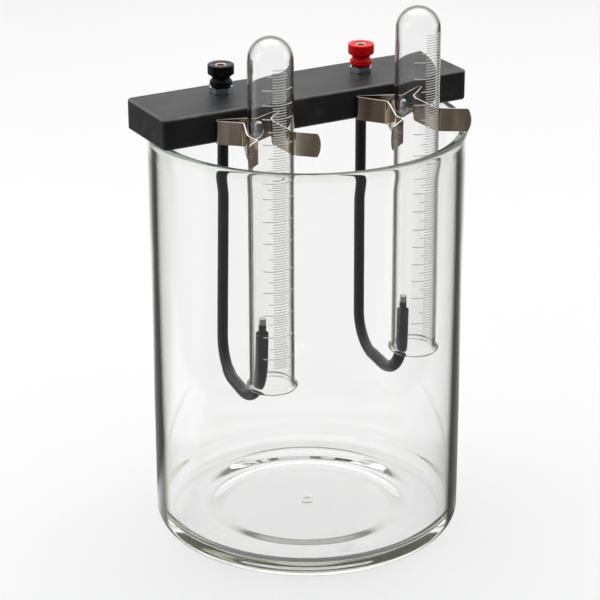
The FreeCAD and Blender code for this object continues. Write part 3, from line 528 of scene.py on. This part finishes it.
def marks(name, at, rows):
    """thin raised enamel lines on the outside of a tube; rows are (z, from, to, height),
    angles in radians to the viewer's right, z in millimetres"""
    bm = bmesh.new()
    for z, a0, a1, h in rows:
        n = max(3, int(abs(a1 - a0) / 0.06))
        prev = None
        for i in range(n + 1):
            a = a0 + (a1 - a0) * i / n
            hh = h * (0.75 if i in (0, n) else 1.0)
            quad = []
            for r, dz in ((10.605, -hh / 2), (10.66, -hh / 2), (10.66, hh / 2), (10.605, hh / 2)):
                px = at[0] + r * (math.cos(a) * TO_VIEW[0] + math.sin(a) * TO_RIGHT[0])
                py = at[1] + r * (math.cos(a) * TO_VIEW[1] + math.sin(a) * TO_RIGHT[1])
                quad.append(bm.verts.new((px * MM, py * MM, (z + dz) * MM)))
            if prev:
                for k in range(4):
                    bm.faces.new((prev[k], prev[(k + 1) % 4], quad[(k + 1) % 4], quad[k]))
            else:
                bm.faces.new(quad[::-1])
            prev = quad
        bm.faces.new(prev)
    bmesh.ops.recalc_face_normals(bm, faces=bm.faces[:])
    me = bpy.data.meshes.new(name)
    bm.to_mesh(me)
    bm.free()
    o = bpy.data.objects.new(name, me)
    bpy.context.scene.collection.objects.link(o)
    return o


def scale_rows(lo, hi, pitch, longs, mids, short, mid, long_):
    """short lines spaced evenly between each pair of longer ones"""
    rows = []
    stops = sorted([lo, hi] + longs + mids)
    for a, b in zip(stops, stops[1:]):
        n = max(1, int(round((b - a) / pitch)))
        rows += [(a + (b - a) * i / n, short[0], short[1], 0.40) for i in range(0 if a == lo else 1, n)]
    rows += [(z, long_[0], long_[1], 0.46) for z in longs]
    rows += [(z, mid[0], mid[1], 0.42) for z in mids]
    return rows


ENAMEL = make_mark()
L_LONG = [241.3, 234.3, 227.9, 215.8, 198.4, 190.15, 179.05, 168.5, 154.8, 144.2, 132.85, 121.8, 110.7]
L_MID = [247.8, 221.8, 209.25, 203.6, 195.05, 185.25, 173.6, 160.8, 149.5, 138.35, 128.4, 115.85]
R_LONG = [244.15, 236.25, 223.8, 209.6, 199.15, 188.6, 180.3, 171.4, 162.3, 153.6, 144.8, 136.3, 127.55, 114.5]
R_MID = [248.4, 230.05, 216.5, 204.45, 193.9, 184.5, 175.9, 166.8, 158.0, 149.2, 140.5, 132.0, 119.95]
for side, rows in (
        ("left", scale_rows(106.3, 252.0, 1.25, L_LONG, L_MID, (0.09, 0.755), (-0.11, 0.80), (-0.365, 1.15))),
        ("right", scale_rows(105.4, 257.9, 1.25, R_LONG, R_MID, (0.33, 1.22), (0.14, 1.25), (-0.19, 1.25)))):
    o = marks("scale_marks_" + side, TUBES[side], rows)
    o.data.materials.append(ENAMEL)
    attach(o, side + "_tube")

# --------------------------------------------------------------------- terminals
ZN = 221.7 + 3.2                 # top of the hexagon nut
ZC = ZN + 1.9 + 0.05             # underside of the cap
for col, (x, y) in (("black", BLACK), ("red", RED)):
    p = [(3.12, 0.15), (3.27, 0.0), (5.1, 0.0)] + arc(5.1, 0.3, 0.3, -90, 0, 5) + [(5.4, 0.55), (5.3, 0.8)]
    p += [(4.75, 1.35), (4.45, 1.75), (4.32, 2.1), (4.3, 2.5), (4.36, 2.85), (4.62, 3.12)]
    p += [(5.9, 3.95), (6.22, 4.2)] + arc(6.0, 4.5, 0.35, -30, 0, 4) + [(6.35, 5.5), (6.35, 7.6)]
    p += arc(5.8, 8.3, 0.55, 0, 90, 7) + [(4.9, 8.85), (4.2, 8.80), (3.6, 8.82), (3.27, 8.82), (3.12, 8.7)]
    p += [(3.12, 7.85), (4.45, 7.85), (4.45, 5.25), (3.12, 5.25)]
    wear(lathe("cap_moulding_" + col, p, (x, y, ZC), 96, 42), "cap_" + col, col + "_cap", "terminal_cap_" + col)
    p = [(3.05, 0), (4.4, 0), (4.6, 0.2), (4.6, 0.7), (5.15, 0.7)] + arc(5.2, 1.0, 0.3, -90, 0, 5)
    p += arc(5.2, 1.6, 0.3, 0, 90, 5) + [(3.05, 1.9)]
    wear(lathe("collar_ring_" + col, p, (x, y, ZN), 96, 40), "cap_" + col, "bar", "terminal_collar_" + col)

# ------------------------------------------------------------------ electrode tips: heights only
FLOOR_Z = {"black": 206.7 - 126.6, "red": 206.7 - 127.7}

# -------------------------------------------------------------------------- stage
bm = bmesh.new()
bmesh.ops.create_grid(bm, x_segments=8, y_segments=8, size=6.0)
me = bpy.data.meshes.new("studio_floor")
bm.to_mesh(me)
bm.free()
floor = bpy.data.objects.new("studio_floor", me)
floor.location = (0, 0, -0.0002)
bpy.context.scene.collection.objects.link(floor)
me.materials.append(make_floor())


def softbox(name, at, aim, size, watts, colour=(1, 1, 1)):
    d = bpy.data.lights.new(name, "AREA")
    d.shape = "RECTANGLE"
    d.size, d.size_y = size
    d.energy = watts
    d.color = colour
    o = bpy.data.objects.new(name, d)
    bpy.context.scene.collection.objects.link(o)
    o.location = at
    o.rotation_mode = "QUATERNION"
    o.rotation_quaternion = (Vector(aim) - Vector(at)).to_track_quat("-Z", "Y")
    return o


softbox("overhead_box", (0.15, 0.35, 1.5), (0, 0, 0.1), (1.6, 1.2), 7.0)
softbox("left_box", (-1.3, 0.1, 0.7), (0, 0, 0.12), (0.5, 1.0), 2.0)
softbox("right_box", (1.25, -0.55, 0.6), (0, 0, 0.12), (0.35, 0.9), 1.0)

world = bpy.data.worlds.new("studio_air")
bpy.context.scene.world = world
world.use_nodes = True
wt = world.node_tree
for n in list(wt.nodes):
    wt.nodes.remove(n)
tc = wt.nodes.new("ShaderNodeTexCoord")
dot = wt.nodes.new("ShaderNodeVectorMath")
dot.operation = "DOT_PRODUCT"
dot.inputs[1].default_value = (0.4843, 0.8749, 0.0)
wt.links.new(tc.outputs["Generated"], dot.inputs[0])
rm = wt.nodes.new("ShaderNodeMapRange")
rm.interpolation_type = "SMOOTHSTEP"
rm.inputs["From Min"].default_value = -0.7
rm.inputs["From Max"].default_value = 0.9
rm.inputs["To Min"].default_value = 0.10
rm.inputs["To Max"].default_value = 1.0
wt.links.new(dot.outputs["Value"], rm.inputs["Value"])
sp = wt.nodes.new("ShaderNodeSeparateXYZ")
wt.links.new(tc.outputs["Generated"], sp.inputs[0])
up = wt.nodes.new("ShaderNodeMapRange")
up.interpolation_type = "SMOOTHSTEP"
up.inputs["From Min"].default_value = 0.25
up.inputs["From Max"].default_value = 1.0
up.inputs["To Min"].default_value = 0.0
up.inputs["To Max"].default_value = 0.55
wt.links.new(sp.outputs["Z"], up.inputs["Value"])
ad = wt.nodes.new("ShaderNodeMath")
ad.operation = "ADD"
wt.links.new(rm.outputs[0], ad.inputs[0])
wt.links.new(up.outputs[0], ad.inputs[1])
bg = wt.nodes.new("ShaderNodeBackground")
bg.inputs["Color"].default_value = (1, 1, 1, 1)
wt.links.new(ad.outputs[0], bg.inputs["Strength"])
seen = wt.nodes.new("ShaderNodeBackground")
seen.inputs["Color"].default_value = (0.985, 0.985, 0.985, 1)
lp = wt.nodes.new("ShaderNodeLightPath")
plain = wt.nodes.new("ShaderNodeMath")
plain.operation = "MAXIMUM"
wt.links.new(lp.outputs["Is Camera Ray"], plain.inputs[0])
wt.links.new(lp.outputs["Is Transmission Ray"], plain.inputs[1])
back = wt.nodes.new("ShaderNodeMath")
back.operation = "ADD"
wt.links.new(lp.outputs["Glossy Depth"], back.inputs[0])
wt.links.new(lp.outputs["Diffuse Depth"], back.inputs[1])
first = wt.nodes.new("ShaderNodeMath")
first.operation = "LESS_THAN"
first.inputs[1].default_value = 0.5
wt.links.new(back.outputs[0], first.inputs[0])
straight = wt.nodes.new("ShaderNodeMath")
straight.operation = "MULTIPLY"
wt.links.new(plain.outputs[0], straight.inputs[0])
wt.links.new(first.outputs[0], straight.inputs[1])
mx = wt.nodes.new("ShaderNodeMixShader")
wo = wt.nodes.new("ShaderNodeOutputWorld")
wt.links.new(straight.outputs[0], mx.inputs[0])
wt.links.new(bg.outputs[0], mx.inputs[1])
wt.links.new(seen.outputs[0], mx.inputs[2])
wt.links.new(mx.outputs[0], wo.inputs["Surface"])

# ------------------------------------------------------------------------- camera
cd = bpy.data.cameras.new("studio_camera")
cam = bpy.data.objects.new("studio_camera", cd)
bpy.context.scene.collection.objects.link(cam)
cd.sensor_width = 36.0
cd.lens = 136.464
cd.clip_start, cd.clip_end = 0.05, 50.0
right = Vector((0.874519, -0.484987, -0.002107))
down = Vector((-0.187232, -0.333599, -0.923935))
fwd = Vector((0.447393, 0.808393, -0.382544))
m = Matrix((right, -down, -fwd)).transposed().to_4x4()
m.translation = Vector((-0.503642, -0.903287, 0.543113))
cam.matrix_world = m
bpy.context.scene.camera = cam

sc = bpy.context.scene
sc.view_settings.view_transform = "Standard"
sc.cycles.max_bounces = 24
sc.cycles.transmission_bounces = 24
sc.cycles.transparent_max_bounces = 32
sc.cycles.glossy_bounces = 8
sc.cycles.diffuse_bounces = 4
sc.cycles.caustics_refractive = False
sc.cycles.caustics_reflective = False
sc.cycles.use_denoising = True

bpy.context.view_layer.update()
